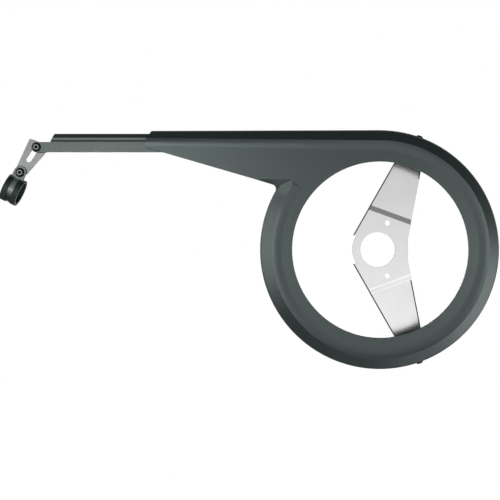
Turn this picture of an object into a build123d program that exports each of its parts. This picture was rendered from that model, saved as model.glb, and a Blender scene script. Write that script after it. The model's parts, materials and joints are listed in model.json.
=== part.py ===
from build123d import *
from math import asin, cos, radians, sin, sqrt, tan
import os

os.makedirs("parts", exist_ok=True)

# Moulded ring, all sizes in mm
RING_RADIUS = 118.0
HOLE_RADIUS = 86.5
WALL = 2.0
FACE_STANDOFF = 25.0
RIM_DEPTH = 23.0
RIDGE_HEIGHT = 2.0
BEVEL_WIDTH = 11.0
BEVEL_ANGLE = 35.0
DISH_WIDTH = 10.2
RIM_CHAMFER = 1.6

# Moulded arm, from the crank axis back to its nose
ARM_LENGTH = 231.2
ARM_TOP_DROP = 1.0
ARM_BEVEL_WIDTH = 8.1
ARM_DISH_WIDTH = 6.4
ARM_EDGE_ANGLE = 16.2
NOSE_HEIGHT = 16.4
NOSE_SLANT = 6.3
NOSE_FLAT = 6.0
NOSE_ROUND = 3.0
CORNER_ROUND = 4.5
FACET_DROP = 48.0
FACET_ANGLE = 38.0
RIDGE_END_ANGLE = 144.0
RIDGE_RAMP_ANGLE = 30.0

# Relief in the rim where the lower run of chain leaves
RELIEF_START = 152.0
RELIEF_END = 246.0
RELIEF_LIP = 4.0

# Screw seats of the ring
SCREW_ANGLE = 70.0
SEAT_WIDTH = 20.0
SEAT_THICKNESS = 1.0
SEAT_BACK = 2.5
SCREW_INSET = 8.5
HEAD_FLAT_DEPTH = 0.25
HEAD_FLAT_MARGIN = 0.5

# Rear extension that slides in the arm
SLIDE_GAP = 0.4
EXT_WALL = 2.0
EXT_TOP_GAP = 0.9
EXT_BEVEL_WIDTH = 4.0
EXT_LAND = 2.1
EXT_STEP_WIDTH = 2.1
EXT_CREST_HEIGHT = 1.2
EXT_FACE_WIDTH = 10.1
EXT_BACK_GAP = 2.5
EXT_OVERLAP = 109.2
EXT_TOP_INSET = 13.6
EXT_END_SLANT = 4.5
TAB_REACH = 106.9
GUIDE_WIDTH = 9.0
GUIDE_INSETS = (35.2, 75.2)

# Bottom bracket plate
BORE_RADIUS = 17.5
PLATE_T = 1.5
HUB_RADIUS = 25.3
JOGGLE_START = 34.8
JOGGLE_LENGTH = 4.6
JOGGLE_DEPTH = 1.5
BEND_RADIUS = 2.25
LEFT_EDGE_OFFSET = 28.4
LEFT_EDGE_ANGLE = 60.3
RIGHT_EDGE_X = 30.3
RIGHT_EDGE_TURN = 11.0
RIGHT_EDGE_ANGLE = 79.0
EDGE_FLANGE = 4.5
FLANGE_START = 0.8
UPPER_RIGHT_FLANGE_START = 61.0
LOWER_RIGHT_FLANGE_START = 20.0
END_FLANGE_HALF_WIDTH = 8.5
END_FLANGE_MARGIN = 3.5
FIXING_HOLE_RADIUS = 2.75
FIXING_HOLE_X = 9.9
FIXING_HOLE_PITCH = 53.0

# Fasteners
BOLT_RADIUS = 2.5
HOLE_GAP = 0.1
THREAD_GAP = 0.04
HEAD_RADIUS = 4.5
HEAD_HEIGHT = 2.4
HEAD_LAND_RADIUS = 2.7
SOCKET_SIZE = 3.0
SOCKET_DEPTH = 1.6
NUT_SIZE = 8.0
NUT_HEIGHT = 4.0
WASHER_RADIUS = 5.0
WASHER_T = 1.0
BOLT_TAIL = 2.0
GUARD_SCREW_TAIL = 2.4

# Strut between the extension and the clamp
STRUT_T = 2.0
STRUT_GAP = 0.2
STRUT_LENGTH = 29.8
STRUT_LEAN = 33.0
STRUT_TOP_HALF_WIDTH = 10.6
STRUT_END_RADIUS = 5.8
STRUT_HEADROOM = 5.4
STRUT_TOP_SAG = 2.2
STRUT_CORNER = 1.6
SLOT_LENGTH = 14.5

# Rubber-lined clamp for the stay
CLAMP_LEAN = 25.5
CLAMP_DROP = 18.7
BAND_T = 1.0
BAND_WIDTH = 12.5
TAB_END = 6.3
RUBBER_BORE = 10.75
RUBBER_T = 1.0
RUBBER_WIDTH = 16.6
LIP_COVER = 3.6
LIP_T = 0.7
LOOP_DEPTH = 7.0
FRONT_BEND_RADIUS = 4.5
BACK_BEND_RADIUS = 1.2

FACE_Y = -FACE_STANDOFF
INNER_Y = FACE_Y + WALL
CREST_Y = FACE_Y - RIDGE_HEIGHT
BACK_Y = FACE_Y + RIM_DEPTH
SLOPE = tan(radians(BEVEL_ANGLE))
EDGE_SLOPE = tan(radians(ARM_EDGE_ANGLE))
NOSE_TOP = RING_RADIUS - ARM_TOP_DROP
TAB_BOLT_X = ARM_LENGTH + TAB_REACH
OVERRUN = 2.0


def prism(sketch, front, back):
    """Solid between two depths over a front-view outline."""
    return extrude(Plane.XZ.offset(-back) * sketch, amount=back - front)


def sector(radius, start, end):
    """Pie-shaped front-view outline between two angles in degrees."""
    steps = [start + (end - start) * i / 6 for i in range(7)]
    rim = [(radius * cos(radians(a)), radius * sin(radians(a))) for a in steps]
    return make_face(Polyline((0, 0), *rim, close=True))


def at_arm(value_ring, value_nose):
    """Section size just past the nose, in line with the ring and nose values."""
    share = (ARM_LENGTH + OVERRUN) / ARM_LENGTH
    return value_ring + (value_nose - value_ring) * share


def bevel_back(bevel):
    return CREST_Y + bevel * SLOPE


def outer_section(top, bevel, dish, low):
    """Everything behind the outside of the moulding, in depth and height."""
    crest = top - bevel
    radius = (dish**2 + RIDGE_HEIGHT**2) / (2 * RIDGE_HEIGHT)
    half = asin(dish / radius) / 2
    middle = (FACE_Y - radius + radius * cos(half), crest - dish + radius * sin(half))
    points = [
        (FACE_Y, crest - dish),
        (FACE_Y, low),
        (BACK_Y, low),
        (BACK_Y, top),
        (bevel_back(bevel), top),
        (CREST_Y, crest),
    ]
    hollow = ThreePointArc((CREST_Y, crest), middle, (FACE_Y, crest - dish))
    face = make_face([*Polyline(*points).edges(), hollow])
    rim = face.vertices().sort_by_distance((bevel_back(bevel), top))[0]
    return chamfer(rim, RIM_CHAMFER)


def inner_section(top, bevel, low):
    """Everything behind the inside of the moulding, in depth and height."""
    slant = radians(BEVEL_ANGLE)
    shift = CREST_Y + WALL / cos(slant)
    crest = top - bevel
    bend = crest + (INNER_Y - shift) / SLOPE
    ceiling = top - WALL
    points = [
        (INNER_Y, low),
        (BACK_Y + OVERRUN, low),
        (BACK_Y + OVERRUN, ceiling),
        (shift + (ceiling - crest) * SLOPE, ceiling),
        (INNER_Y, bend),
    ]
    return make_face(Polyline(*points, close=True))


def edge_height(x):
    """Height of the arm's lower edge at a place along it."""
    return NOSE_TOP - NOSE_HEIGHT - (x + ARM_LENGTH) * EDGE_SLOPE


def turned(shape, angle):
    """Shape drawn on the top of the ring, taken round the crank axis to an angle."""
    return Rot(0, 90 - angle, 0) * shape


def bolt(length):
    """Button-head socket bolt, head towards the front, underside of the head at the origin."""
    outline = Polyline(
        (0, -HEAD_HEIGHT),
        (HEAD_LAND_RADIUS, -HEAD_HEIGHT),
        (HEAD_RADIUS, 0),
        (BOLT_RADIUS, 0),
        (BOLT_RADIUS, length),
        (0, length),
        close=True,
    )
    body = revolve(make_face(outline), Axis.Y)
    hexagon = RegularPolygon(SOCKET_SIZE / 2, 6, major_radius=False)
    return body - prism(hexagon, -HEAD_HEIGHT * 2, SOCKET_DEPTH - HEAD_HEIGHT)


def nut(height):
    """Hexagon nut whose front face is at the origin."""
    outline = RegularPolygon(NUT_SIZE / 2, 6, major_radius=False) - Circle(BOLT_RADIUS + THREAD_GAP)
    return prism(outline, 0, height)


def washer():
    return prism(Circle(WASHER_RADIUS) - Circle(BOLT_RADIUS + HOLE_GAP), 0, WASHER_T)


# Guard shell: outside less inside, for the ring and for the arm
crest_radius = RING_RADIUS - BEVEL_WIDTH
flat_radius = crest_radius - DISH_WIDTH
arm_low = HOLE_RADIUS * sin(radians(30))

ring_section = outer_section(RING_RADIUS, BEVEL_WIDTH, DISH_WIDTH, HOLE_RADIUS)
ring_outside = revolve(Plane.YZ * ring_section, Axis.Y)
ring_inside = revolve(Plane.YZ * inner_section(RING_RADIUS, BEVEL_WIDTH, HOLE_RADIUS - OVERRUN), Axis.Y)

# The ring's raised line runs out in a ramp below the arm
ridge_end = radians(RIDGE_END_ANGLE)
ramp_lean = radians(RIDGE_RAMP_ANGLE)
ramp = Plane(
    origin=(crest_radius * cos(ridge_end), CREST_Y, crest_radius * sin(ridge_end)),
    z_dir=(sin(ramp_lean) * sin(ridge_end), -cos(ramp_lean), -sin(ramp_lean) * cos(ridge_end)),
)
clearing = prism(sector(RING_RADIUS * 1.3, 90, RIDGE_END_ANGLE + 14), CREST_Y - OVERRUN, FACE_Y)
ring_outside -= split(clearing, bisect_by=ramp, keep=Keep.TOP)

arm_top = at_arm(RING_RADIUS, NOSE_TOP)
arm_bevel = at_arm(BEVEL_WIDTH, ARM_BEVEL_WIDTH)
arm_dish = at_arm(DISH_WIDTH, ARM_DISH_WIDTH)
arm_planes = [Plane.YZ, Plane.YZ.offset(-ARM_LENGTH - OVERRUN)]
outer_faces = [
    arm_planes[0] * outer_section(RING_RADIUS, BEVEL_WIDTH, DISH_WIDTH, arm_low),
    arm_planes[1] * outer_section(arm_top, arm_bevel, arm_dish, arm_low),
]
inner_faces = [
    arm_planes[0] * inner_section(RING_RADIUS, BEVEL_WIDTH, arm_low),
    arm_planes[1] * inner_section(arm_top, arm_bevel, arm_low),
]
nose_low = NOSE_TOP - ARM_BEVEL_WIDTH - NOSE_FLAT / 2
slant_run = NOSE_SLANT / (NOSE_TOP - nose_low)
headroom = ARM_TOP_DROP + OVERRUN
inner_x = -HOLE_RADIUS * cos(radians(45))
arm_outline = make_face(
    Polyline(
        (0, NOSE_TOP + headroom),
        (-ARM_LENGTH + NOSE_SLANT + slant_run * headroom, NOSE_TOP + headroom),
        (-ARM_LENGTH, nose_low),
        (-ARM_LENGTH, edge_height(-ARM_LENGTH)),
        (inner_x, edge_height(inner_x)),
        (0, edge_height(inner_x)),
        close=True,
    )
)
nose_corner = arm_outline.vertices().sort_by_distance((-ARM_LENGTH, edge_height(-ARM_LENGTH)))[0]
arm_outline = fillet(nose_corner, NOSE_ROUND)

# Where the lower edge meets the ring, the silhouette is rounded
level = NOSE_TOP - NOSE_HEIGHT - ARM_LENGTH * EDGE_SLOPE
reach = 1 + EDGE_SLOPE**2
corner_x = (level * EDGE_SLOPE - sqrt(reach * RING_RADIUS**2 - level**2)) / reach
silhouette = arm_outline + Circle(RING_RADIUS)
corner = silhouette.vertices().sort_by_distance((corner_x, edge_height(corner_x)))[0]
web = fillet(corner, CORNER_ROUND) - arm_outline - Circle(RING_RADIUS)
arm_outline += web

facet_lean = radians(FACET_ANGLE)
facet = Plane(
    origin=(-RING_RADIUS, FACE_Y, NOSE_TOP - FACET_DROP),
    x_dir=(1, 0, 0),
    z_dir=(0, -cos(facet_lean), -sin(facet_lean)),
)
cutter = Box(RING_RADIUS * 4, RING_RADIUS, RING_RADIUS, align=(Align.CENTER, Align.CENTER, Align.MIN))
arm_prism = prism(arm_outline, CREST_Y - OVERRUN, BACK_Y + OVERRUN * 2)
arm_hole = prism(Circle(HOLE_RADIUS), CREST_Y - OVERRUN, BACK_Y + OVERRUN * 3)
arm_outside = (loft(outer_faces, ruled=True) & arm_prism) - facet * cutter - arm_hole
arm_inside = (loft(inner_faces, ruled=True) & arm_prism) - facet.offset(-WALL) * cutter

guard = ring_outside + arm_outside - arm_inside - ring_inside

# Relief for the lower run of chain
lip_back = bevel_back(BEVEL_WIDTH) + RELIEF_LIP
relief = prism(
    sector(RING_RADIUS * 1.3, RELIEF_START, RELIEF_END) - Circle(flat_radius),
    lip_back,
    BACK_Y + OVERRUN,
)
guard -= relief

# Flat seats and holes for the two radial screws
seat_height = RING_RADIUS - WALL - SEAT_THICKNESS
screw_y = BACK_Y - SCREW_INSET
seat_front = bevel_back(BEVEL_WIDTH) + WALL
seat_back = BACK_Y - SEAT_BACK
seat = Pos(0, (seat_front + seat_back) / 2, RING_RADIUS - WALL / 2) * Box(
    SEAT_WIDTH, seat_back - seat_front, WALL + SEAT_THICKNESS * 2
)
seat &= prism(Circle(RING_RADIUS - WALL / 4), seat_front - 1, seat_back + 1)
seat &= Pos(0, screw_y, seat_height) * Box(
    SEAT_WIDTH * 2, RIM_DEPTH * 2, WALL * 4, align=(Align.CENTER, Align.CENTER, Align.MIN)
)
screw_hole = Pos(0, screw_y, RING_RADIUS) * Cylinder(BOLT_RADIUS + HOLE_GAP, WALL * 8)
head_flat = RING_RADIUS - HEAD_FLAT_DEPTH
flat_width = (HEAD_RADIUS + HEAD_FLAT_MARGIN) * 2
head_seat = Pos(0, screw_y, head_flat) * Box(
    flat_width, flat_width, WALL, align=(Align.CENTER, Align.CENTER, Align.MIN)
)
for angle in (SCREW_ANGLE, -SCREW_ANGLE):
    guard += turned(seat, angle)
    guard -= turned(screw_hole, angle)
    guard -= turned(head_seat, angle)

# Rear extension, one bent section cut to an outline
ext_crest_y = INNER_Y + SLIDE_GAP
ext_face_y = ext_crest_y + EXT_CREST_HEIGHT
ext_back = BACK_Y - EXT_BACK_GAP
ext_top = NOSE_TOP - WALL - EXT_TOP_GAP
ext_land = ext_top - EXT_BEVEL_WIDTH
ext_step = ext_land - EXT_LAND
ext_face_top = ext_step - EXT_STEP_WIDTH
ext_low = ext_face_top - EXT_FACE_WIDTH
bolt_z = ext_low + EXT_FACE_WIDTH / 2
ext_inner_x = EXT_OVERLAP - ARM_LENGTH
ext_end_x = EXT_TOP_INSET - TAB_BOLT_X

# Guides inside the arm hold the lower edge of the extension
lip_gap = ext_face_y + EXT_WALL + SLIDE_GAP
for inset in GUIDE_INSETS:
    shelf = Box(GUIDE_WIDTH, lip_gap + WALL - INNER_Y + 0.2, WALL)
    shelf = Pos(inset - ARM_LENGTH, (lip_gap + WALL + INNER_Y - 0.2) / 2, ext_low - SLIDE_GAP - WALL / 2) * shelf
    hook = Box(GUIDE_WIDTH, WALL, WALL * 2 + SLIDE_GAP)
    guard += shelf + Pos(inset - ARM_LENGTH, lip_gap + WALL / 2, ext_low) * hook

spine = Polyline(
    (ext_back, ext_top),
    (ext_crest_y + EXT_BEVEL_WIDTH * SLOPE, ext_top),
    (ext_crest_y, ext_land),
    (ext_crest_y, ext_step),
    (ext_face_y, ext_face_top),
    (ext_face_y, ext_low),
)
ext_section = make_face(offset(spine, amount=EXT_WALL, side=Side.LEFT))
extension = extrude(Plane.YZ.offset(-TAB_BOLT_X - EXT_FACE_WIDTH) * ext_section, amount=TAB_BOLT_X)
ext_outline = make_face(
    Polyline(
        (ext_inner_x, ext_low - 1),
        (ext_inner_x, ext_top + 1),
        (ext_end_x + EXT_END_SLANT, ext_top + 1),
        (ext_end_x, ext_face_top),
        (-TAB_BOLT_X, ext_face_top),
        (-TAB_BOLT_X, ext_low - 1),
        close=True,
    )
)
ext_outline += Pos(-TAB_BOLT_X, bolt_z) * Circle(EXT_FACE_WIDTH / 2)
extension &= prism(ext_outline, CREST_Y, BACK_Y)
tab_hole = Pos(-TAB_BOLT_X, bolt_z) * Circle(BOLT_RADIUS + HOLE_GAP)
extension -= prism(tab_hole, CREST_Y, ext_face_y + EXT_WALL * 2)

# Bottom bracket plate: two stepped arms that meet on the hub
flange_u = seat_height - PLATE_T / 2
plate_mid = -PLATE_T / 2
arm_mid = plate_mid + JOGGLE_DEPTH
arm_front = arm_mid - PLATE_T / 2
bend_path = FilletPolyline(
    (-HUB_RADIUS * 2, plate_mid),
    (JOGGLE_START, plate_mid),
    (JOGGLE_START + JOGGLE_LENGTH, arm_mid),
    (flange_u, arm_mid),
    (flange_u, screw_y - END_FLANGE_MARGIN),
    radius=BEND_RADIUS,
)
sheet = make_face(offset(bend_path, amount=PLATE_T / 2, side=Side.BOTH))
bulk = make_face(
    Polyline(
        (-HUB_RADIUS, -PLATE_T),
        (JOGGLE_START, -PLATE_T),
        (JOGGLE_START + JOGGLE_LENGTH, arm_front),
        (flange_u - BEND_RADIUS * 2, arm_front),
        (flange_u - BEND_RADIUS * 2, arm_front + EDGE_FLANGE),
        (JOGGLE_START + JOGGLE_LENGTH, arm_front + EDGE_FLANGE),
        (JOGGLE_START, EDGE_FLANGE - PLATE_T),
        (-HUB_RADIUS, EDGE_FLANGE - PLATE_T),
        close=True,
    )
)
arm_turn = radians(SCREW_ANGLE)
along = Vector(cos(arm_turn), 0, sin(arm_turn))
across = Plane(origin=(0, 0, 0), x_dir=along, z_dir=along.cross(Vector(0, 1, 0)))
half_span = RING_RADIUS / 2
sheet_solid = extrude(across * sheet, amount=half_span, both=True)
bulk_solid = extrude(across * bulk, amount=half_span, both=True)

left_dir = Vector(cos(radians(LEFT_EDGE_ANGLE)), sin(radians(LEFT_EDGE_ANGLE)))
left_out = Vector(-left_dir.Y, left_dir.X)
right_dir = Vector(cos(radians(RIGHT_EDGE_ANGLE)), sin(radians(RIGHT_EDGE_ANGLE)))
right_out = Vector(right_dir.Y, -right_dir.X)
left_point = left_out * LEFT_EDGE_OFFSET
right_point = Vector(RIGHT_EDGE_X, RIGHT_EDGE_TURN)
far = RING_RADIUS
left_base = left_point + left_dir * FLANGE_START
left_far = tuple(left_point + left_dir * far)[:2]
right_far = tuple(right_point + right_dir * far)[:2]
half_outline = make_face(
    Polyline(
        (0, 0),
        (left_base.X + PLATE_T, left_base.Y),
        (left_base.X, left_base.Y),
        left_far,
        right_far,
        (right_point.X, right_point.Y),
        (RIGHT_EDGE_X, 0),
        close=True,
    )
)
half_outline += Circle(HUB_RADIUS)
half_outline &= Pos(0, far) * Rectangle(far * 4, far * 2)
flange_strip = Rot(0, 0, SCREW_ANGLE) * Pos(seat_height, 0) * Rectangle(BEND_RADIUS * 8, END_FLANGE_HALF_WIDTH * 2)
end_zone = Rot(0, 0, SCREW_ANGLE) * Pos(seat_height, 0) * Rectangle(BEND_RADIUS * 3, half_span)
sheet_outline = (half_outline - end_zone) + (flange_strip & half_outline)


def edge_strip(point, direction, outward, start):
    """Front-view strip of one sheet thickness along an arm's edge."""
    first = point + direction * start
    last = point + direction * far
    inner = outward * -PLATE_T
    corners = [first, last, last + inner, first + inner]
    return make_face(Polyline(*[(c.X, c.Y) for c in corners], close=True))


def plate_half(right_start):
    strips = edge_strip(left_point, left_dir, left_out, FLANGE_START)
    strips += edge_strip(right_point, right_dir, right_out, right_start)
    walls = bulk_solid & prism(strips, -RIM_DEPTH, RIM_DEPTH)
    return (sheet_solid & prism(sheet_outline, -RIM_DEPTH, RIM_DEPTH)) + walls


upper_half = plate_half(UPPER_RIGHT_FLANGE_START)
lower_half = mirror(plate_half(LOWER_RIGHT_FLANGE_START), about=Plane.XY)
fixings = Circle(BORE_RADIUS)
for side in (1, -1):
    fixings += Pos(FIXING_HOLE_X, side * FIXING_HOLE_PITCH / 2) * Circle(FIXING_HOLE_RADIUS)
plate = upper_half + lower_half - prism(fixings, -RIM_DEPTH, RIM_DEPTH)
for angle in (SCREW_ANGLE, -SCREW_ANGLE):
    plate -= turned(screw_hole, angle)

# Radial screws and nuts that join the plate and the ring
screw_length = head_flat - seat_height + PLATE_T + NUT_HEIGHT + GUARD_SCREW_TAIL
guard_screw = Pos(0, screw_y, head_flat) * Rot(-90, 0, 0) * bolt(screw_length)
guard_nut = Pos(0, screw_y, seat_height - PLATE_T) * Rot(-90, 0, 0) * nut(NUT_HEIGHT)
top_guard_screw = turned(guard_screw, SCREW_ANGLE)
bottom_guard_screw = turned(guard_screw, -SCREW_ANGLE)
top_guard_nut = turned(guard_nut, SCREW_ANGLE)
bottom_guard_nut = turned(guard_nut, -SCREW_ANGLE)

# Strut, drawn hanging straight down from the tab's bolt and then leaned back
strut_front = ext_face_y + EXT_WALL + STRUT_GAP
strut_back = strut_front + STRUT_T
top_arc = ThreePointArc(
    (-STRUT_TOP_HALF_WIDTH, STRUT_HEADROOM - STRUT_TOP_SAG),
    (0, STRUT_HEADROOM),
    (STRUT_TOP_HALF_WIDTH, STRUT_HEADROOM - STRUT_TOP_SAG),
)
sides = Polyline(
    (STRUT_TOP_HALF_WIDTH, STRUT_HEADROOM - STRUT_TOP_SAG),
    (STRUT_END_RADIUS, -STRUT_LENGTH),
    (-STRUT_END_RADIUS, -STRUT_LENGTH),
    (-STRUT_TOP_HALF_WIDTH, STRUT_HEADROOM - STRUT_TOP_SAG),
)
strut_face = make_face([top_arc, *sides.edges()])
strut_face = fillet(strut_face.vertices().group_by(Axis.Y)[-1], STRUT_CORNER)
strut_face += Pos(0, -STRUT_LENGTH) * Circle(STRUT_END_RADIUS)
slot_half = BOLT_RADIUS + HOLE_GAP
slot = Pos(0, -SLOT_LENGTH / 2) * Rectangle(slot_half * 2, SLOT_LENGTH)
slot += Circle(slot_half)
slot += Pos(0, -SLOT_LENGTH) * Circle(slot_half)
strut_face -= slot
strut_face -= Pos(0, -STRUT_LENGTH) * Circle(slot_half)
tab_place = Pos(-TAB_BOLT_X, 0, bolt_z)
strut = tab_place * Rot(0, STRUT_LEAN, 0) * prism(strut_face, strut_front, strut_back)

# Bolts, washers and nuts of the strut
clamp_x = -TAB_BOLT_X - STRUT_LENGTH * sin(radians(STRUT_LEAN))
clamp_z = bolt_z - STRUT_LENGTH * cos(radians(STRUT_LEAN))
washer_back = strut_back + WASHER_T
band_front = strut_front - BAND_T * 2
strut_bolt = tab_place * Pos(0, ext_face_y, 0) * bolt(washer_back + NUT_HEIGHT + BOLT_TAIL - ext_face_y)
clamp_place = Pos(clamp_x, 0, clamp_z)
clamp_bolt = clamp_place * Pos(0, band_front, 0) * bolt(washer_back + NUT_HEIGHT + BOLT_TAIL - band_front)
strut_washer = tab_place * Pos(0, strut_back, 0) * washer()
clamp_washer = clamp_place * Pos(0, strut_back, 0) * washer()
strut_nut = tab_place * Pos(0, washer_back, 0) * nut(NUT_HEIGHT)
clamp_nut = clamp_place * Pos(0, washer_back, 0) * nut(NUT_HEIGHT)

# Clamp band, drawn hanging straight down from its bolt, its section about the loop's centre
loop_y = band_front + LOOP_DEPTH
band_inner = RUBBER_BORE + RUBBER_T
band_outer = band_inner + BAND_T
band_mid = band_inner + BAND_T / 2
span = RUBBER_WIDTH * 2
tab_top = CLAMP_DROP + TAB_END


def throat(leg, reach):
    """Centre of the bend between a leg of the band and its loop, at a signed reach from the leg."""
    across = leg + reach
    return across, sqrt((band_mid + abs(reach)) ** 2 - across**2)


def bend(centre, leg, inner, outer):
    """Ring round a bend's centre, from the leg's side of it to the loop's side."""
    across, up = centre
    side = span if leg > across else -span
    wedge = make_face(Polyline((0, 0), (side, 0), (side, -span), (-across * 3, -up * 3), close=True))
    return Pos(across, up) * ((Circle(outer) - Circle(inner)) & wedge)


def leg_and_bend(leg, centre, radius):
    straight = Pos(leg, (centre[1] + tab_top) / 2) * Rectangle(BAND_T, tab_top - centre[1])
    return straight + bend(centre, leg, radius - BAND_T / 2, radius + BAND_T / 2)


front_leg = BAND_T / 2 - LOOP_DEPTH
back_leg = front_leg + BAND_T
front_throat = throat(front_leg, -FRONT_BEND_RADIUS)
back_throat = throat(back_leg, BACK_BEND_RADIUS)
mouth = make_face(
    Polyline(
        (0, 0),
        (front_throat[0] * 3, front_throat[1] * 3),
        (back_throat[0] * 3, back_throat[1] * 3),
        close=True,
    )
)
band_face = Circle(band_outer) - Circle(band_inner) - mouth
band_face += leg_and_bend(front_leg, front_throat, FRONT_BEND_RADIUS)
band_face += leg_and_bend(back_leg, back_throat, BACK_BEND_RADIUS)
loop_plane = Plane.YZ * Pos(loop_y, -CLAMP_DROP)
band = extrude(loop_plane * band_face, amount=BAND_WIDTH / 2, both=True)
tab_shape = Circle(TAB_END) + Pos(0, -CLAMP_DROP) * Rectangle(BAND_WIDTH, CLAMP_DROP * 2)
band &= prism(tab_shape, loop_y - span, loop_y + span)
band -= prism(Circle(slot_half), band_front - 1, strut_front + 0.5)

# Rubber lining: sleeve inside the band, with lips round both edges of the band
lip_radius = band_outer + LIP_T
lip_inner = FRONT_BEND_RADIUS - BAND_T / 2 - LIP_T
lip_bend = bend(front_throat, front_leg, lip_inner, FRONT_BEND_RADIUS + BAND_T / 2)
rubber_face = Circle(lip_radius) - Circle(RUBBER_BORE) - mouth + lip_bend
rubber = extrude(loop_plane * rubber_face, amount=RUBBER_WIDTH / 2, both=True)
groove_face = Circle(lip_radius + 1) - Circle(band_mid)
groove_face += bend(front_throat, front_leg, lip_inner - 1, FRONT_BEND_RADIUS)
rubber -= extrude(loop_plane * groove_face, amount=BAND_WIDTH / 2 - LIP_COVER, both=True)
rubber -= band
hang = clamp_place * Rot(0, CLAMP_LEAN, 0)
clamp_band = hang * band
clamp_rubber = hang * rubber

nodes = {
    "guard_shell": guard,
    "rear_extension": extension,
    "bottom_bracket_plate": plate,
    "top_guard_screw": top_guard_screw,
    "bottom_guard_screw": bottom_guard_screw,
    "top_guard_nut": top_guard_nut,
    "bottom_guard_nut": bottom_guard_nut,
    "stay_strut": strut,
    "strut_bolt": strut_bolt,
    "strut_washer": strut_washer,
    "strut_nut": strut_nut,
    "clamp_band": clamp_band,
    "clamp_rubber": clamp_rubber,
    "clamp_bolt": clamp_bolt,
    "clamp_washer": clamp_washer,
    "clamp_nut": clamp_nut,
}
for name, shape in nodes.items():
    export_step(shape, f"parts/{name}.step")
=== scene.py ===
# %% [markdown]
# # A bicycle chain guard
# The real object is a dark moulded ring with a long arm, a second moulding that slides out of the arm, a
# bright sheet-steel plate that goes over the bottom bracket, and a small strut with a rubber-lined clamp.
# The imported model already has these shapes, so this lesson is about finishes, screw threads and light.

import json
from math import atan, cos, degrees, pi, radians, sin

import bpy
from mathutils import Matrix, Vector


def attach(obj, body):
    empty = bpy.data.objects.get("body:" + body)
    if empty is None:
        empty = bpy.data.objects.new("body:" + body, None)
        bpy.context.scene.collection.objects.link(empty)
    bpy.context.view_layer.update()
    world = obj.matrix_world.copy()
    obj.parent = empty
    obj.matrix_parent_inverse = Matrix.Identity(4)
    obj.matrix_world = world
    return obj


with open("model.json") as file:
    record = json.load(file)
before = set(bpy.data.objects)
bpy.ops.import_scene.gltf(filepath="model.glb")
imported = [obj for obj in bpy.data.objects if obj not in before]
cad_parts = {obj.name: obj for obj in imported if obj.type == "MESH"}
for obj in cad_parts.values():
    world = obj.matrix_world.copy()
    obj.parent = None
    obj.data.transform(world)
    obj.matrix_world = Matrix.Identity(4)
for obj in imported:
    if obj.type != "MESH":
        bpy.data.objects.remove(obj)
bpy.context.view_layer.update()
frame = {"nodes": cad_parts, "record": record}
nodes = frame["nodes"]

# %% [markdown]
# ## Shader maths as Python
# A finish is a sum of patterns. Wiring every sum by hand hides the idea, so one small class wraps a socket:
# an expression on it adds the Math nodes, and `make` adds any other node, with its settings first.


# %% Socket class
class Wire:
    def __init__(self, tree, socket=None):
        self.tree = tree
        self.socket = socket

    def make(self, kind, settings=None, inputs=None, output=0):
        """Add a node, and wrap one of its outputs."""
        node = self.tree.nodes.new(kind)
        for name, value in (settings or {}).items():
            setattr(node, name, value)
        for key, value in (inputs or {}).items():
            if isinstance(value, Wire):
                self.tree.links.new(value.socket, node.inputs[key])
            else:
                node.inputs[key].default_value = value
        return Wire(self.tree, node.outputs[output] if node.outputs else None)

    def math(self, operation, first, second=0.0):
        return self.make("ShaderNodeMath", {"operation": operation}, {0: first, 1: second})

    def __add__(self, other):
        return self.math("ADD", self, other)

    def __radd__(self, other):
        return self.math("ADD", other, self)

    def __sub__(self, other):
        return self.math("SUBTRACT", self, other)

    def __rsub__(self, other):
        return self.math("SUBTRACT", other, self)

    def __mul__(self, other):
        return self.math("MULTIPLY", self, other)

    def __rmul__(self, other):
        return self.math("MULTIPLY", other, self)

    def __pow__(self, other):
        return self.math("POWER", self, other)


# %% [markdown]
# ## Patterns
# Plastic, metal and rubber are never quite even. Image textures could show that, but they need an unwrapped
# surface. Noise on Object coordinates needs none and stays on the piece when it moves, so it is used here.


# %% Patterns
def noise(start, scale, detail=2.0, stretch=(1, 1, 1)):
    place = start.make("ShaderNodeTexCoord", output="Object")
    place = start.make("ShaderNodeMapping", inputs={"Vector": place, "Scale": stretch})
    return start.make("ShaderNodeTexNoise", inputs={"Vector": place, "Scale": scale, "Detail": detail})


def drift(start, middle, *waves):
    """Value that wanders about its middle. Each wave is a noise's scale and detail, and its range."""
    for scale, detail, spread in waves:
        middle = middle + (noise(start, scale, detail) - 0.5) * spread
    return middle


def tint(start, share, dark, light):
    """Colour that goes from dark to light as the share goes from 0 to 1."""
    colours = [end if isinstance(end, Wire) else (*end, 1) for end in (dark, light)]
    inputs = {0: share, 6: colours[0], 7: colours[1]}
    return start.make("ShaderNodeMix", {"data_type": "RGBA"}, inputs, output=2)


def clamp(start, value):
    return start.make("ShaderNodeClamp", inputs={"Value": value})


# %% [markdown]
# ## A finish from patterns
# Every finish here has the same few parts: a colour that drifts a little, a roughness that drifts too, and a
# fine bump. Moulded and sheared edges are never quite sharp, so a Bevel node rounds the normal at each edge
# and the bump starts from that. Where two pieces meet and in creases, shade is painted: Ambient Occlusion
# mixes in a dark matt shader there.

# %% Finish
MILLIMETRE = 0.001
GAP_SHADE_COLOUR = (0.003, 0.004, 0.004, 1)
GAP_SHADE_REACH = 0.003
GAP_SHADE_BELOW = 0.75


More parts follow.
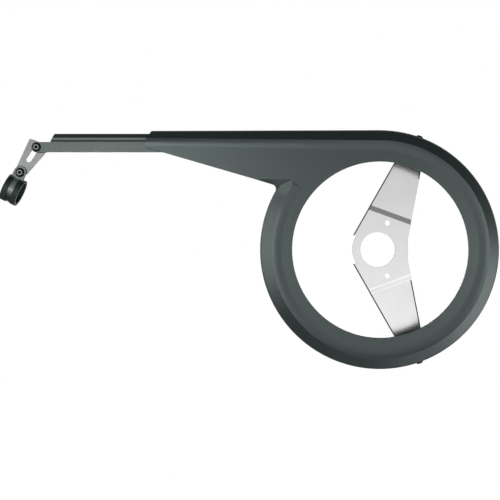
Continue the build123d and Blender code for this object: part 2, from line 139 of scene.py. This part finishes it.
def finish(name, colour, roughness, height, edge, fixed, settle=None, gap_shade_gain=3.0):
    """Material whose colour, roughness and bump height in millimetres are functions of its node tree.

    Edge is the radius of its edges, settle may turn the normal, and the last argument is how fast the painted
    shade in gaps takes over.
    """
    material = bpy.data.materials.new(name)
    material.use_nodes = True
    tree = material.node_tree
    tree.nodes.clear()
    start = Wire(tree)
    rounded = start.make("ShaderNodeBevel", {"samples": 6}, {"Radius": edge})
    if settle:
        rounded = settle(start, rounded)
    relief = {"Height": height(start), "Strength": 1.0, "Distance": MILLIMETRE, "Normal": rounded}
    bump = start.make("ShaderNodeBump", inputs=relief)
    looks = {"Base Color": colour(start), "Roughness": roughness(start), "Normal": bump, **fixed}
    shader = start.make("ShaderNodeBsdfPrincipled", inputs=looks)
    # Painted shade: where Ambient Occlusion finds a gap or a crease, a dark matt shader is mixed in.
    gap_shade = start.make("ShaderNodeBsdfDiffuse", inputs={"Color": GAP_SHADE_COLOUR})
    reach = {"Distance": GAP_SHADE_REACH}
    open_sky = start.make("ShaderNodeAmbientOcclusion", {"samples": 8}, reach, output="AO")
    share = clamp(start, (GAP_SHADE_BELOW - open_sky) * gap_shade_gain)
    with_gap_shade = start.make("ShaderNodeMixShader", inputs={0: share, 1: shader, 2: gap_shade})
    start.make("ShaderNodeOutputMaterial", inputs={"Surface": with_gap_shade})
    print("finish", name, len(tree.nodes), "nodes")
    return material


# %% [markdown]
# ## Where a finish changes
# Wear and dirt depend on the place and on the way a face looks. Painting that by hand would have to be done
# again for every change of shape, so one axis of the place or of the normal is read instead, and a ramp turns
# a stretch of it into a share.


# %% Places
def axis(start, kind, letter):
    """One axis of the Object coordinates or of the Normal."""
    vector = start.make("ShaderNodeTexCoord", output=kind)
    return start.make("ShaderNodeSeparateXYZ", inputs={"Vector": vector}, output=letter)


def ramp(start, value, ends, results):
    """Goes from one result to the other while the value goes from one end to the other."""
    inputs = {"Value": value, 1: ends[0], 2: ends[1], 3: results[0], 4: results[1]}
    return start.make("ShaderNodeMapRange", inputs=inputs)


# %% [markdown]
# ## Inner corner
# Where the arm's bevel runs into the ring's, the mould is blended by hand. A fillet could do that in the
# solid, but the solid keeps a wedge there, so the normal settles towards one direction near the corner. Only
# faces that slope and that look outwards take part, so the flat front and the inside stay as they are.

# %% Corner blend
INNER_CORNER = Vector((-0.0935, -0.022, 0.0655))
CORNER_FACE = Vector((-0.15, -1, -0.1)).normalized()
BLEND_REACH = (0.009, 0.032)
BLEND_SHARE = 0.62
SLOPE_GAIN = 15
OUTSIDE_GAIN = 8


def blended(start, normal):
    place = start.make("ShaderNodeTexCoord", output="Object")
    ends = {0: place, 1: INNER_CORNER}
    apart = start.make("ShaderNodeVectorMath", {"operation": "DISTANCE"}, ends, output="Value")
    near = ramp(start, apart, BLEND_REACH, (BLEND_SHARE, 0.0))
    depth = axis(start, "Normal", "Y")
    sloping = clamp(start, depth * SLOPE_GAIN + SLOPE_GAIN)
    outside = clamp(start, depth * -OUTSIDE_GAIN)
    inputs = {0: near * sloping * outside, 4: normal, 5: CORNER_FACE}
    mixed = start.make("ShaderNodeMix", {"data_type": "VECTOR"}, inputs, output=1)
    return start.make("ShaderNodeVectorMath", {"operation": "NORMALIZE"}, {0: mixed})


print("corner blend ends", BLEND_REACH[1], "from", [round(v, 4) for v in INNER_CORNER])

# %% [markdown]
# ## Moulded plastic
# Ring, arm and extension are dark grey-green plastic with the fine spark-eroded grain of the mould. The grain
# is what makes the shine broad: a small noise bump, a satin roughness and a faint drift of colour. The
# extension comes from another mould and is a little lighter.


# %% Plastic
def plastic(name, dark, light, sheen, settle=None):
    return finish(
        name,
        lambda s: tint(s, noise(s, 14, 3), dark, light),
        lambda s: drift(s, 0.42, (60, 3, 0.06), (1500, 1, 0.1)),
        lambda s: noise(s, 2200, 2) * 0.035 + noise(s, 900, 1) * 0.02,
        edge=0.0007,
        fixed={"IOR": 1.5, "Specular Tint": (*sheen, 1)},
        settle=settle,
    )


guard_plastic = plastic(
    "guard_plastic",
    dark=(0.0066, 0.0095, 0.0091),
    light=(0.0078, 0.0112, 0.0107),
    sheen=(0.84, 1, 0.98),
    settle=blended,
)
extension_plastic = plastic(
    "extension_plastic",
    dark=(0.0090, 0.0120, 0.0114),
    light=(0.0106, 0.0140, 0.0134),
    sheen=(0.88, 1, 0.98),
)

# %% [markdown]
# ## Plain metals
# The strut is satin grey, and the nuts and washers are zinc. Both are metals, so what they show is what they
# reflect, and the roughness matters more than the colour. On the strut, and later on the plate, every face
# that doesn't look to the front or the back is darker.


# %% Metals
def darker_sides(start, dull, dark, light):
    # Faces that don't look to the front or the back take the darker colour.
    facing = start.math("ABSOLUTE", axis(start, "Normal", "Y")) * 2
    return tint(start, facing, dull, tint(start, noise(start, 30, 3), dark, light))


def metal(name, colour, rough, spread, height):
    return finish(
        name,
        colour,
        lambda s: drift(s, rough, (45, 4, spread), (900, 1, spread)),
        lambda s: height(s) + noise(s, 1600, 2) * 0.004,
        edge=0.0003,
        fixed={"Metallic": 1.0},
    )


strut_metal = metal(
    "strut_metal",
    lambda s: darker_sides(s, (0.022, 0.024, 0.024), (0.093, 0.096, 0.095), (0.107, 0.110, 0.109)),
    rough=0.46,
    spread=0.10,
    height=lambda s: noise(s, 500, 2) * 0.006,
)
zinc_fastener = metal(
    "zinc_fastener",
    lambda s: tint(s, noise(s, 30, 3), (0.42, 0.43, 0.44), (0.50, 0.51, 0.51)),
    rough=0.32,
    spread=0.12,
    height=lambda s: noise(s, 500, 2) * 0.006,
)

# %% [markdown]
# ## The plate's folds
# The plate's long edges are folded back, and a fold is round: its last millimetre turns away from the front
# and shows as a thin dark line. The solid is square there, so the round is a small drop in the bump height, a
# function of the distance to each edge's line. The left edge is the same above and below the hole, but the
# right fold begins further out above than below.

# %% Folds
LEFT_EDGE_OFFSET = 0.0284
LEFT_EDGE_ANGLE = radians(60.3)
LEFT_FOLD_BEGINS = 0.0148
RIGHT_EDGE_X = 0.0303
RIGHT_EDGE_TURN = 0.011
RIGHT_EDGE_ANGLE = radians(79.0)
UPPER_FOLD_BEGINS = 0.061
LOWER_FOLD_BEGINS = 0.020
FOLD = 0.0011
FOLD_SLOPE = 0.62


def folded(start):
    """Depth of the folds below the plate's face, in millimetres."""
    x = axis(start, "Object", "X")
    z = axis(start, "Object", "Z")
    up = start.math("ABSOLUTE", z)
    out = up - RIGHT_EDGE_TURN
    from_left = LEFT_EDGE_OFFSET + x * sin(LEFT_EDGE_ANGLE) - up * cos(LEFT_EDGE_ANGLE)
    from_right = (RIGHT_EDGE_X - x) * sin(RIGHT_EDGE_ANGLE) + out * cos(RIGHT_EDGE_ANGLE)
    run = (x - RIGHT_EDGE_X) * cos(RIGHT_EDGE_ANGLE) + out * sin(RIGHT_EDGE_ANGLE)
    middle = (UPPER_FOLD_BEGINS + LOWER_FOLD_BEGINS) / 2
    begins = start.math("SIGN", z) * (UPPER_FOLD_BEGINS - middle) + middle
    left = start.math("MAXIMUM", FOLD - from_left) * start.math("GREATER_THAN", up, LEFT_FOLD_BEGINS)
    right = start.math("MAXIMUM", FOLD - from_right) * start.math("GREATER_THAN", run, begins)
    return (left + right) * (FOLD_SLOPE / MILLIMETRE)


print("folds", FOLD, "wide and", round(FOLD * FOLD_SLOPE, 5), "deep")

# %% [markdown]
# ## The plate's steel
# It is bright rolled sheet: smooth, but not a mirror, with very fine lines along it and a soft unevenness. A
# noise that is stretched along Z draws the lines.

# %% Plate
plate_steel = metal(
    "plate_steel",
    lambda s: darker_sides(s, (0.24, 0.25, 0.247), (0.54, 0.545, 0.54), (0.60, 0.605, 0.60)),
    rough=0.25,
    spread=0.05,
    height=lambda s: noise(s, 500, 2, (5, 5, 0.25)) * 0.006 - folded(s),
)

# %% [markdown]
# ## Black screws
# Black oxide wears on the flat land round the socket, where the key rubs, and the land, which faces the front
# in the node's own axes, is painted lighter: wear and a painted highlight. The floor of the socket is painted
# dark
# by Ambient Occlusion: painted shade.

# %% Black oxide
LAND_GAIN = 8.0
LAND_START = 6.8
SOCKET_REACH = 0.004


def land_highlight_socket_shade(start, dark, light):
    # Painted highlight and wear: faces that look to the front take the lighter colour.
    facing = axis(start, "Normal", "Y") * -LAND_GAIN - LAND_START
    open_sky = start.make("ShaderNodeAmbientOcclusion", inputs={"Distance": SOCKET_REACH}, output="AO")
    share = clamp(start, facing * drift(start, open_sky**6, (700, 3, 0.5)))
    # Painted shade: Ambient Occlusion darkens the socket's floor towards black.
    return tint(start, share, tint(start, open_sky**2, (0, 0, 0), dark), light)


black_fastener = finish(
    "black_fastener",
    lambda s: land_highlight_socket_shade(s, (0.015, 0.0175, 0.017), (0.042, 0.045, 0.044)),
    lambda s: drift(s, 0.26, (300, 3, 0.12)),
    lambda s: noise(s, 900, 2) * 0.01,
    edge=0.0003,
    fixed={"Metallic": 1.0},
)

# %% [markdown]
# ## The clamp's band
# Its zinc is dull on the flat tab. The crown of the loop, which is what stands furthest forward, is painted
# lighter: a painted highlight. Its underside is painted dark: painted shade. So the colour follows depth and
# the way the face looks, and a high roughness lets the bend fade softly.

# %% Band
CROWN_DEPTHS = (-0.021, -0.025)
UNDERSIDE_RISE = (-0.5, -0.05)
UNDERSIDE_SHADE = (0.006, 0.007, 0.007)


def crown_highlight_underside_shade(start, dull, bright):
    # Painted highlight: lighter towards the crown, which stands furthest forward.
    share = ramp(start, axis(start, "Object", "Y"), CROWN_DEPTHS, (0.0, 1.0))
    # Painted shade: darker on faces that look down.
    upper = ramp(start, axis(start, "Normal", "Z"), UNDERSIDE_RISE, (0.0, 1.0))
    zinc = tint(start, drift(start, share, (350, 3, 0.25)), dull, bright)
    return tint(start, upper, UNDERSIDE_SHADE, zinc)


band_steel = finish(
    "band_steel",
    lambda s: crown_highlight_underside_shade(s, (0.034, 0.041, 0.040), (0.085, 0.095, 0.093)),
    lambda s: drift(s, 0.42, (300, 3, 0.12)),
    lambda s: noise(s, 1600, 2) * 0.004,
    edge=0.0003,
    fixed={"Metallic": 0.4, "IOR": 1.45},
    gap_shade_gain=0.6,
)

# %% [markdown]
# ## Rubber
# The clamp is lined with matt black rubber. It has no clear shine, only a dusty unevenness, so the roughness
# is high and the bump coarse.

# %% Rubber
rubber = finish(
    "rubber",
    lambda s: tint(s, noise(s, 220, 4), (0.0024, 0.0050, 0.0047), (0.0046, 0.0080, 0.0077)),
    lambda s: drift(s, 0.6, (400, 3, 0.2)),
    lambda s: noise(s, 1300, 3) * 0.03,
    edge=0.0002,
    fixed={"IOR": 1.5, "Specular IOR Level": 0.2, "Specular Tint": (0.8, 1, 0.98, 1)},
)

# %% [markdown]
# ## Each node takes its finish
# The record names a material slot for every node, so the finish goes on by that name.

# %% Assign
finishes = {
    "guard_plastic": guard_plastic,
    "extension_plastic": extension_plastic,
    "plate_steel": plate_steel,
    "strut_metal": strut_metal,
    "band_steel": band_steel,
    "black_fastener": black_fastener,
    "zinc_fastener": zinc_fastener,
    "rubber": rubber,
}
for entry in frame["record"]["subparts"]:
    mesh = nodes[entry["node"]].data
    mesh.materials.clear()
    mesh.materials.append(finishes[entry["material_slot"]])
print("finishes", len(finishes))

# %% [markdown]
# ## Threads
# Behind each nut a few turns of the screw's thread stand out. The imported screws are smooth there, and a
# thread is one ridge that follows a helix, so Geometry Nodes sweep a small diamond along a spiral and put a
# copy on the end of every screw. A point marks each end, and an attribute on it says which way the screw
# runs.


# %% Thread tree
def thread_tree():
    tree = bpy.data.node_groups.new("screw_thread", "GeometryNodeTree")
    sockets = {"Geometry": "NodeSocketGeometry", "Material": "NodeSocketMaterial"}
    sockets.update(dict.fromkeys(("Radius", "Pitch", "Turns", "Ridge"), "NodeSocketFloat"))
    for name, kind in sockets.items():
        tree.interface.new_socket(name, in_out="INPUT", socket_type=kind)
    tree.interface.new_socket("Geometry", in_out="OUTPUT", socket_type="NodeSocketGeometry")
    start = Wire(tree)
    given = {name: start.make("NodeGroupInput", output=name) for name in sockets}
    spiral = {"Resolution": 32, "Rotations": given["Turns"], "Height": given["Pitch"] * given["Turns"]}
    spiral.update(dict.fromkeys(("Start Radius", "End Radius"), given["Radius"]))
    helix = start.make("GeometryNodeCurveSpiral", inputs=spiral)
    corners = {"Resolution": 4, "Radius": given["Ridge"]}
    diamond = start.make("GeometryNodeCurvePrimitiveCircle", inputs=corners)
    sweep = {"Curve": helix, "Profile Curve": diamond, "Fill Caps": True}
    ridge = start.make("GeometryNodeCurveToMesh", inputs=sweep)
    ends = start.make("GeometryNodeMeshToPoints", inputs={"Mesh": given["Geometry"]})
    way = start.make("GeometryNodeInputNamedAttribute", {"data_type": "FLOAT_VECTOR"}, {"Name": "way"})
    turn = start.make("FunctionNodeAlignRotationToVector", {"axis": "Z"}, {"Vector": way})
    spread = {"Points": ends, "Instance": ridge, "Rotation": turn}
    copies = start.make("GeometryNodeInstanceOnPoints", inputs=spread)
    solid = start.make("GeometryNodeRealizeInstances", inputs={"Geometry": copies})
    done = start.make("GeometryNodeSetMaterial", inputs={"Geometry": solid, "Material": given["Material"]})
    start.make("NodeGroupOutput", inputs={"Geometry": done})
    return tree


thread_group = thread_tree()
print("thread tree", len(thread_group.nodes), "nodes")

# %% [markdown]
# ## Ends of the screws
# The screws' own meshes tell where they end: the end face is what lies furthest along the screw, and its
# middle is the middle of its box. Reading it there keeps the threads in place when the solids change.

# %% Screw ends
BACK = Vector((0, 1, 0))
SCREW_ANGLE = 70
INWARD = {
    turn: Vector((-cos(radians(turn)), 0, -sin(radians(turn)))) for turn in (SCREW_ANGLE, -SCREW_ANGLE)
}
FACE_DEPTH = 1e-5


def end_of(node, way):
    """Middle of the end face of a screw that runs along a direction."""
    corners = [v.co for v in nodes[node].data.vertices]
    reach = max(c.dot(way) for c in corners)
    face = [c for c in corners if c.dot(way) > reach - FACE_DEPTH]
    return Vector([(min(c[i] for c in face) + max(c[i] for c in face)) / 2 for i in range(3)])


for bolt in ("strut_bolt", "clamp_bolt"):
    print(bolt, "ends at", [round(v, 4) for v in end_of(bolt, BACK)])

# %% [markdown]
# ## One thread mesh for each body
# The threads move with their screws, so each body gets a mesh of its own. The modifier's inputs are set by
# the sockets' identifiers, and the evaluated result is turned into a plain mesh.

# %% Threads
THREAD = {"Radius": 0.0025, "Pitch": 0.0008, "Turns": 2.0, "Ridge": 0.00024}


def threads(name, body, screws):
    length = THREAD["Pitch"] * THREAD["Turns"] + THREAD["Ridge"]
    marks = bpy.data.meshes.new(name + "_ends")
    marks.from_pydata([end_of(node, way) - way * length for node, way in screws], [], [])
    attribute = marks.attributes.new("way", "FLOAT_VECTOR", "POINT")
    for point, (_, way) in zip(attribute.data, screws):
        point.vector = way
    maker = bpy.data.objects.new(name + "_maker", marks)
    bpy.context.scene.collection.objects.link(maker)
    modifier = maker.modifiers.new("thread", "NODES")
    modifier.node_group = thread_group
    values = {**THREAD, "Material": black_fastener}
    for socket in thread_group.interface.items_tree:
        if socket.in_out == "INPUT" and socket.name in values:
            modifier[socket.identifier] = values[socket.name]
    made = maker.evaluated_get(bpy.context.evaluated_depsgraph_get())
    piece = bpy.data.objects.new(name, bpy.data.meshes.new_from_object(made))
    bpy.data.objects.remove(maker)
    bpy.context.scene.collection.objects.link(piece)
    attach(piece, body)
    print(name, len(piece.data.polygons), "faces")


guard_screws = [("top_guard_screw", INWARD[SCREW_ANGLE]), ("bottom_guard_screw", INWARD[-SCREW_ANGLE])]
threads("guard_screw_threads", "guard", guard_screws)
threads("strut_bolt_thread", "strut_pivot", [("strut_bolt", BACK)])
threads("clamp_bolt_thread", "clamp", [("clamp_bolt", BACK)])

# %% [markdown]
# ## World
# The light of a studio comes from certain directions. A picture of a studio could be wrapped round the scene,
# but here one function of the direction is enough: the closer a ray is to an aim, the larger its share.

# %% Sky
world = bpy.data.worlds.new("studio")
bpy.context.scene.world = world
world.use_nodes = True
world.node_tree.nodes.clear()
sky = Wire(world.node_tree)
direction = sky.make("ShaderNodeTexCoord", output="Generated")


def towards(aim):
    """Share of the sky towards a direction: 1 at its centre, 0 at right angles to it."""
    pair = {0: direction, 1: Vector(aim).normalized()}
    dot = sky.make("ShaderNodeVectorMath", {"operation": "DOT_PRODUCT"}, pair, output="Value")
    return sky.math("MAXIMUM", dot)


print("world", world.name)

# %% [markdown]
# ## Glows
# The photo is a cut-out on white, but an evenly white world would show no form in steel. So the world is dim,
# with a soft glow round the camera and weaker or narrower ones below and above it, which the stepped arms of
# the plate reflect as bright and dull strips. It is white only where the camera sees it, and where a
# reflection looks at the backdrop behind the object.

# %% Glows
WHITE = (1, 1, 1, 1)
BASE_GLOW = 0.07

front_glow = towards((0.1, -1, -0.13)) ** 24 * 1.68 + towards((0, -1, 0)) ** 5 * 0.12
low_glow = towards((0.36, -1, -0.68)) ** 60 * 2.15 + towards((0.21, -1, -0.36)) ** 90 * 1.6
high_glow = towards((0.36, -1, 0.68)) ** 40 * 0.42
camera_ray, glossy_ray, glass_ray = (
    sky.make("ShaderNodeLightPath", output=f"Is {kind} Ray") for kind in ("Camera", "Glossy", "Transmission")
)
glow = front_glow + low_glow + high_glow + BASE_GLOW
lit = sky.make("ShaderNodeBackground", inputs={"Color": WHITE, "Strength": glow})
white = sky.make("ShaderNodeBackground", inputs={"Color": WHITE, "Strength": 1.0})
shown = camera_ray + (glossy_ray + glass_ray) * towards((0, 1, 0)) ** 2
mixed = sky.make("ShaderNodeMixShader", inputs={0: shown, 1: lit, 2: white})
sky.make("ShaderNodeOutputWorld", inputs={"Surface": mixed})
print("glows", len(world.node_tree.nodes), "nodes")

# %% [markdown]
# ## Lamps
# Light that runs along bevels and rims shows the form of a dark moulding, so soft lamps stand to the left and
# right of the camera and low on the right, and two behind light the other side. The plate is left out of
# every lamp's light, because it mirrored the lamps and burned out to white from the sides. Weaker lamps would
# be the plainer way. Here light linking is used instead: a collection names the plate and excludes it.

# %% Lamps
LAMP_DISTANCE = 0.85
LAMP_AIM = Vector((-0.10, 0, 0.02))

shaded = bpy.data.collections.new("shaded_from_lamps")
shaded.objects.link(nodes["bottom_bracket_plate"])
shaded.collection_objects[0].light_linking.link_state = "EXCLUDE"


def soft_lamp(name, turn, height, size, power):
    """Round lamp: turn is to the right of the camera's side and height above it, in degrees."""
    lamp = bpy.data.lights.new(name, "AREA")
    lamp.shape = "DISK"
    lamp.size = size
    lamp.energy = power
    level = cos(radians(height))
    way = Vector((sin(radians(turn)) * level, -cos(radians(turn)) * level, sin(radians(height))))
    holder = bpy.data.objects.new(name, lamp)
    holder.location = LAMP_AIM + way * LAMP_DISTANCE
    holder.rotation_euler = way.to_track_quat("Z", "Y").to_euler()
    holder.light_linking.receiver_collection = shaded
    bpy.context.scene.collection.objects.link(holder)
    print("lamp", name, [round(v, 3) for v in holder.location])


soft_lamp("left_front", -20, 0, 0.36, 4.6)
soft_lamp("left_side", -75, 4, 1.0, 9.8)
soft_lamp("right_front", 45, -3, 0.36, 4.2)
soft_lamp("right_low", 76, -22, 0.75, 5.4)
soft_lamp("right_under", 58, -55, 0.36, 0.6)
soft_lamp("rear_left", -158, 10, 0.5, 5.0)
soft_lamp("rear_right", 165, 18, 0.5, 5.0)

# %% [markdown]
# ## Camera
# The photo looks square on at the guard's outer side, so the camera looks along Y without a turn. The lens
# follows from half the width that the frame holds at a known distance. The Standard view transform shows a
# colour about as it is written.

# %% Camera
SENSOR = 36
HALF_WIDTH = 0.24525
WIDTH_DISTANCE = 1.1
HALF_SLOPE = HALF_WIDTH / WIDTH_DISTANCE

camera = bpy.data.cameras.new("camera")
camera.sensor_width = SENSOR
camera.lens = SENSOR / 2 / HALF_SLOPE
view = bpy.data.objects.new("camera", camera)
view.location = (-0.1279, -1.125, -0.0004)
view.rotation_euler = (pi / 2, 0, 0)
bpy.context.scene.collection.objects.link(view)
bpy.context.scene.camera = view
bpy.context.scene.view_settings.view_transform = "Standard"
print("field of view", round(degrees(2 * atan(HALF_SLOPE)), 2))

# %% [markdown]
# ## Floor
# The photo shows no ground. A round sheet of pale paper lies far below the guard, out of the camera's sight,
# and gives the views from above a floor. Light that only the camera sees lifts it towards white.

# %% Floor
FLOOR_PLACE = (-0.12, 0.2, -1.2)
FLOOR_RADIUS = 1.6
FLOOR_LIFT = 0.7

bpy.ops.mesh.primitive_circle_add(vertices=96, radius=FLOOR_RADIUS, fill_type="NGON", location=FLOOR_PLACE)
floor = bpy.context.object
floor.name = "floor"
paper = bpy.data.materials.new("floor_paper")
paper.use_nodes = True
paper.node_tree.nodes.clear()
sheet = Wire(paper.node_tree)
shade = tint(sheet, noise(sheet, 3), (0.69, 0.69, 0.69), (0.72, 0.72, 0.72))
card = sheet.make("ShaderNodeBsdfDiffuse", inputs={"Color": shade})
seen = sheet.make("ShaderNodeLightPath", output="Is Camera Ray")
lift = sheet.make("ShaderNodeEmission", inputs={"Color": WHITE, "Strength": seen * FLOOR_LIFT})
both = sheet.make("ShaderNodeAddShader", inputs={0: card, 1: lift})
sheet.make("ShaderNodeOutputMaterial", inputs={"Surface": both})
floor.data.materials.append(paper)
print("floor", [round(v, 2) for v in floor.dimensions])
